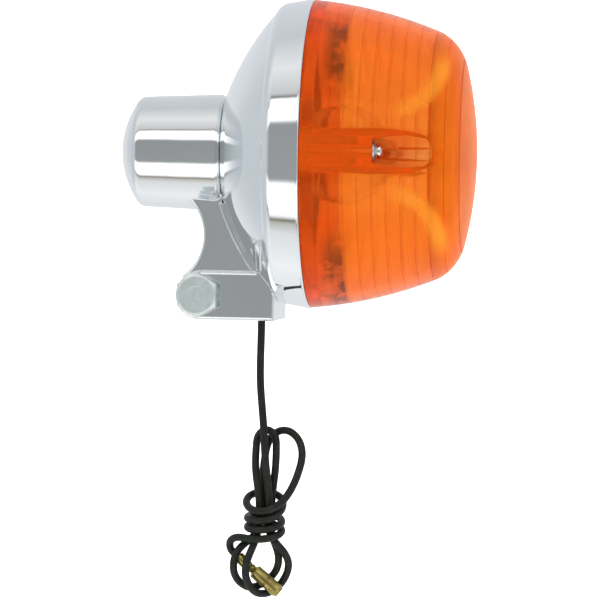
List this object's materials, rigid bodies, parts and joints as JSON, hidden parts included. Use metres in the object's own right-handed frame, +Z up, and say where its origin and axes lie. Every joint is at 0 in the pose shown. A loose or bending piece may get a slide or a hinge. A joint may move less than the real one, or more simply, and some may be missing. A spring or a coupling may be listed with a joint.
{
  "type": "turn signal indicator",
  "caption": "Round motorcycle turn signal: chromed bucket and rear barrel, deep amber lens, bayonet bulb, pinch clamp for a stem, tied lead with bullet connector.",
  "frame": {"origin": "centre of the stem bore's mouth, in the underside of the clamp block", "axes": "+X along the optical axis, out of the lens; +Z up, with the stem leaving along -Z; the pinch bolt's head is on the -Y side"},
  "size_m": [0.092, 0.08, 0.1555],
  "materials": {
    "chrome_cast": "polished chrome on a casting",
    "chrome_shell": "polished chrome on a spun shell",
    "amber_lens": "clear amber moulding",
    "gasket_rubber": "matt black rubber",
    "reflector_mirror": "bright metallised dish",
    "plated_screw": "bright plated steel",
    "plated_washer": "plated steel",
    "zinc_socket": "zinc plated sheet",
    "fibre": "brown fibre board",
    "spring_steel": "bright spring wire",
    "contact_brass": "brass",
    "zinc_hardware": "zinc plated steel",
    "bulb_cap_brass": "nickel-tinted brass",
    "black_insulator": "black glass",
    "solder": "tinned solder",
    "clear_glass": "clear glass",
    "nickel_wire": "nickel wire",
    "tungsten": "tungsten coil",
    "lead_insulation": "dark olive-grey vinyl",
    "terminal_brass": "stamped brass"
  },
  "bodies": {
    "housing": {"rear_housing": "chrome_cast", "bucket": "chrome_shell", "reflector": "reflector_mirror", "lens_gasket": "gasket_rubber", "socket_shell": "zinc_socket", "socket_insulator": "fibre", "stack_screws": "zinc_hardware", "contact_spring": "spring_steel", "floor_grommet": "gasket_rubber", "lead_inner": "lead_insulation", "pinch_nut": "zinc_hardware"},
    "lens": {"lens": "amber_lens"},
    "near_washer": {"near_screw_washer": "plated_washer"},
    "near_screw": {"near_lens_screw": "plated_screw"},
    "far_washer": {"far_screw_washer": "plated_washer"},
    "far_screw": {"far_lens_screw": "plated_screw"},
    "contact": {"contact_carrier": "fibre", "centre_contact": "contact_brass"},
    "bulb": {"bulb_base": "bulb_cap_brass", "bulb_pins": "bulb_cap_brass", "bulb_insulator": "black_insulator", "bulb_tip": "solder", "bulb_glass": "clear_glass", "bulb_stem": "clear_glass", "bulb_support_wires": "nickel_wire", "bulb_filament": "tungsten"},
    "bolt_washer": {"pinch_spring_washer": "zinc_hardware"},
    "bolt": {"pinch_bolt": "zinc_hardware"},
    "hanging_lead": {"lead_hanging": "lead_insulation", "bullet_terminal": "terminal_brass"}
  },
  "joints": [
    {"name": "lens_off", "type": "slide", "parent": "housing", "child": "lens", "axis": [1, 0, 0], "range_m": [0, 0.06]},
    {"name": "near_screw_back_out", "type": "slide", "parent": "lens", "child": "near_washer", "axis": [1, 0, 0], "range_m": [0, 0.009]},
    {"name": "near_screw_turn", "type": "hinge", "parent": "near_washer", "child": "near_screw", "pos_m": [0.0193, -0.0336, 0.043], "axis": [1, 0, 0], "range_deg": [0, 7210]},
    {"name": "far_screw_back_out", "type": "slide", "parent": "lens", "child": "far_washer", "axis": [1, 0, 0], "range_m": [0, 0.009]},
    {"name": "far_screw_turn", "type": "hinge", "parent": "far_washer", "child": "far_screw", "pos_m": [0.0193, 0.0336, 0.043], "axis": [1, 0, 0], "range_deg": [0, 7210]},
    {"name": "bulb_push", "type": "slide", "parent": "housing", "child": "contact", "axis": [-1, 0, 0], "range_m": [0, 0.0016], "deforming": ["contact_spring"]},
    {"name": "bulb_turn", "type": "hinge", "parent": "contact", "child": "bulb", "pos_m": [0, 0, 0.043], "axis": [1, 0, 0], "range_deg": [0, 20]},
    {"name": "bolt_back_out", "type": "slide", "parent": "housing", "child": "bolt_washer", "axis": [0, -1, 0], "range_m": [0, 0.006]},
    {"name": "bolt_turn", "type": "hinge", "parent": "bolt_washer", "child": "bolt", "pos_m": [-0.0083, 0, 0.0064], "axis": [0, -1, 0], "range_deg": [0, 2170]},
    {"name": "lead_swing", "type": "hinge", "parent": "housing", "child": "hanging_lead", "pos_m": [0.0061, 0, -0.005], "axis": [0, 1, 0], "range_deg": [-25, 25]}
  ],
  "couplings": [
    {"joint": "near_screw_turn", "follows": "near_screw_back_out", "rad_per_m": 13963},
    {"joint": "far_screw_turn", "follows": "far_screw_back_out", "rad_per_m": 13963},
    {"joint": "bulb_push", "follows": "bulb_turn", "m_per_rad": 0.0042972},
    {"joint": "bolt_turn", "follows": "bolt_back_out", "rad_per_m": 6283.2}
  ]
}
